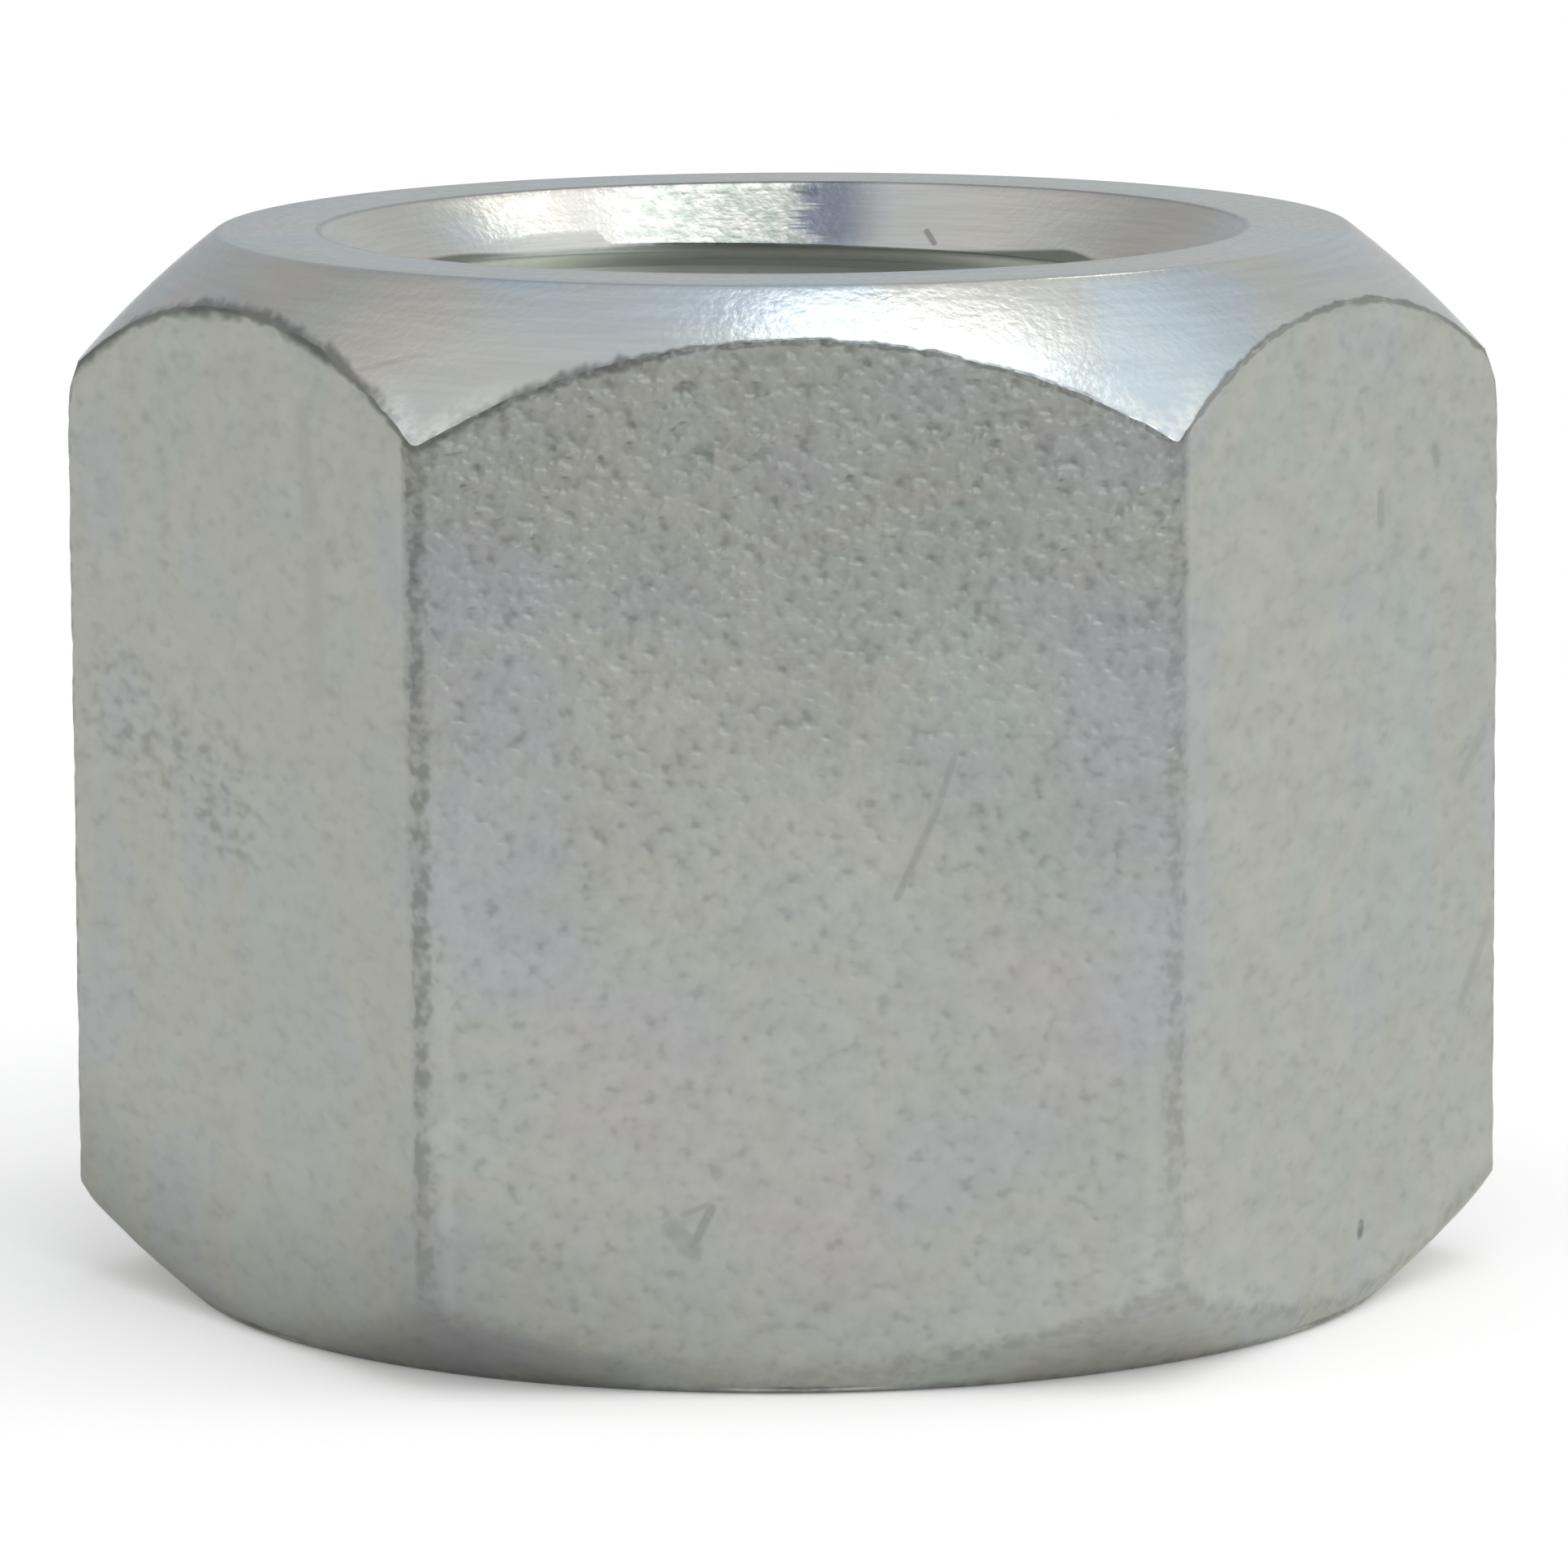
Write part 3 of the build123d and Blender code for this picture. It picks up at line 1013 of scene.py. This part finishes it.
def white_card():
    """The matte floor. It keeps the nut's shadow, and further off the camera sees plain white."""
    shader = Shader("white_card")
    matte = shader.node("ShaderNodeBsdfDiffuse")
    matte.inputs["Color"].default_value = FLOOR_WHITE
    rays = shader.node("ShaderNodeLightPath").outputs
    seen = shader.times(rays["Is Camera Ray"], WHITENING)
    mirrored = shader.largest(rays["Is Glossy Ray"], rays["Is Transmission Ray"])
    glow = shader.node("ShaderNodeEmission")
    shader.feed(glow.inputs["Strength"], shader.largest(seen, shader.times(mirrored, METAL_WHITENING)))
    near_floor = shader.node("ShaderNodeAddShader")
    shader.links.new(matte.outputs[0], near_floor.inputs[0])
    shader.links.new(glow.outputs[0], near_floor.inputs[1])
    far_floor = shader.node("ShaderNodeEmission")
    start, end = SHADOW_FADE
    far = shader.profile(shader.vector("LENGTH", shader.place), (start, 0.0), (end, 1.0))
    floor_look = shader.node("ShaderNodeMixShader")
    shader.feed(floor_look.inputs[0], shader.times(far, rays["Is Camera Ray"]))
    shader.links.new(near_floor.outputs[0], floor_look.inputs[1])
    shader.links.new(far_floor.outputs[0], floor_look.inputs[2])
    shader.links.new(floor_look.outputs[0], shader.nodes["Material Output"].inputs["Surface"])
    shader.nodes.remove(shader.surface)
    return shader.material


# ------------------------------------------------ floor, light and camera

FLOOR_SIZE = 6000.0

CAMERA_DISTANCE = 256.9  # from the middle of the nut
CAMERA_RISE = 8.70
CAMERA_TURN = 1.053
CAMERA_ROLL = -0.30
CAMERA_LENS = 228.3
CAMERA_SENSOR = 36.0
CAMERA_CLIP = 10.0  # nothing nearer than this is drawn
AIM = (-0.04, 0.0, -0.89)  # the point looked at, from the middle of the nut

# Lamps that face the nut: name, place, size, brightness of the face, turn in degrees, colour
WHITE = (1.0, 1.0, 1.0)
LAMPS = (
    ("overhead", (243, 32, 1200), (596, 168), 2.5, 0, WHITE),
    ("side", (27, 27, 79), (12.7, 6.3), 2.6, 58, (1.0, 0.98, 0.9)),
    ("front", (100, -290, 370), (300, 200), 1.7, 0, WHITE),
)

# The room's light: by the sideways part of a direction, and its share by the backward part
ROOM_SIDEWAYS = (
    (-1.0, (0.90, 0.90, 0.88)),
    (-0.45, (0.78, 0.79, 0.78)),
    (-0.18, (0.68, 0.75, 0.82)),
    (0.0, (0.82, 0.87, 0.89)),
    (0.5, (1.04, 1.08, 1.08)),
    (0.72, (1.02, 1.04, 1.03)),
    (1.0, (1.18, 1.20, 1.17)),
)
ROOM_BACKWARD = (
    (0.0, (1.0, 1.0, 1.0)),
    (0.15, (1.0, 1.0, 1.0)),
    (0.37, (0.80, 0.80, 0.80)),
    (0.6, (0.60, 0.60, 0.60)),
    (1.0, (0.66, 0.66, 0.66)),
)


def link(data, name):
    """Puts new data in the scene as an object."""
    thing = bpy.data.objects.new(name, data)
    bpy.context.scene.collection.objects.link(thing)
    return thing


def pose_of(right, up, back, place):
    """The pose of something that looks along its own -Z, from its three directions and its place."""
    pose = Matrix((right, up, back)).transposed().to_4x4()
    pose.translation = place
    return pose


def floor():
    """A pale floor under the nut."""
    half = FLOOR_SIZE * MM / 2
    corners = [(-half, -half, 0), (half, -half, 0), (half, half, 0), (-half, half, 0)]
    mesh = bpy.data.meshes.new("floor")
    mesh.from_pydata(corners, [], [(0, 1, 2, 3)])
    mesh.materials.append(white_card())
    link(mesh, "floor")


def softbox(name, place, size, glow, turn, tint):
    """A rectangular lamp that faces the nut's upper end."""
    lamp = bpy.data.lights.new(name, "AREA")
    lamp.color = tint
    lamp.shape = "RECTANGLE"
    lamp.size, lamp.size_y = size[0] * MM, size[1] * MM
    lamp.energy = glow * pi * lamp.size * lamp.size_y
    start = Vector(place) * MM
    back = (start - Vector((0, 0, HEIGHT * MM))).normalized()
    across = (Vector((1, 0, 0)) - back * back.x).normalized()
    pose = pose_of(across, back.cross(across), back, start)
    link(lamp, name).matrix_world = pose @ Matrix.Rotation(radians(turn), 4, "Z")


def room_ramp(nodes, links, value, stops):
    """A colour from stops of position and colour, of which the last lies at 1."""
    low = stops[0][0]
    share = nodes.new("ShaderNodeMapRange")
    share.inputs["From Min"].default_value = low
    links.new(value, share.inputs["Value"])
    ramp = nodes.new("ShaderNodeValToRGB")
    links.new(share.outputs[0], ramp.inputs[0])
    elements = ramp.color_ramp.elements
    while len(elements) < len(stops):
        elements.new(0.5)
    for element, (position, colour) in zip(elements, stops):
        element.position = (position - low) / (1 - low)
        element.color = (*colour, 1)
    return ramp.outputs[0]


def room():
    """A plain room, a little darker to the left and to the back."""
    world = bpy.data.worlds.new("room")
    bpy.context.scene.world = world
    world.use_nodes = True
    nodes, links = world.node_tree.nodes, world.node_tree.links
    place = nodes.new("ShaderNodeTexCoord")
    split = nodes.new("ShaderNodeSeparateXYZ")
    links.new(place.outputs["Generated"], split.inputs[0])
    product = nodes.new("ShaderNodeVectorMath")
    product.operation = "MULTIPLY"
    for part, stops in enumerate((ROOM_SIDEWAYS, ROOM_BACKWARD)):
        links.new(room_ramp(nodes, links, split.outputs[part], stops), product.inputs[part])
    links.new(product.outputs[0], nodes["Background"].inputs["Color"])


def camera():
    """A long lens in front of the nut, a little above it."""
    rise, turn = radians(CAMERA_RISE), radians(CAMERA_TURN)
    middle = Vector((0, 0, HEIGHT / 2))
    away = Vector((-cos(rise) * sin(turn), -cos(rise) * cos(turn), sin(rise)))
    place = middle + away * CAMERA_DISTANCE
    forward = (middle + Vector(AIM) - place).normalized()
    right = forward.cross(Vector((0, 0, 1))).normalized()
    data = bpy.data.cameras.new("camera")
    data.sensor_width = CAMERA_SENSOR
    data.lens = CAMERA_LENS
    data.clip_start = CAMERA_CLIP * MM
    thing = link(data, "camera")
    pose = pose_of(right, right.cross(forward), -forward, place * MM)
    thing.matrix_world = pose @ Matrix.Rotation(radians(CAMERA_ROLL), 4, "Z")
    bpy.context.scene.camera = thing


def dress_nut():
    """The detailed nut, in place of the plain solid."""
    mesh = nut_mesh()
    face_outward(mesh)
    for material in (forged_zinc(), turned_zinc()):
        mesh.materials.append(material)
    nut = link(mesh, "forged_nut")
    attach(nut, "root")
    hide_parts(NODE)


dress_nut()
floor()
room()
for lamp in LAMPS:
    softbox(*lamp)
camera()
bpy.context.scene.view_settings.view_transform = "Standard"
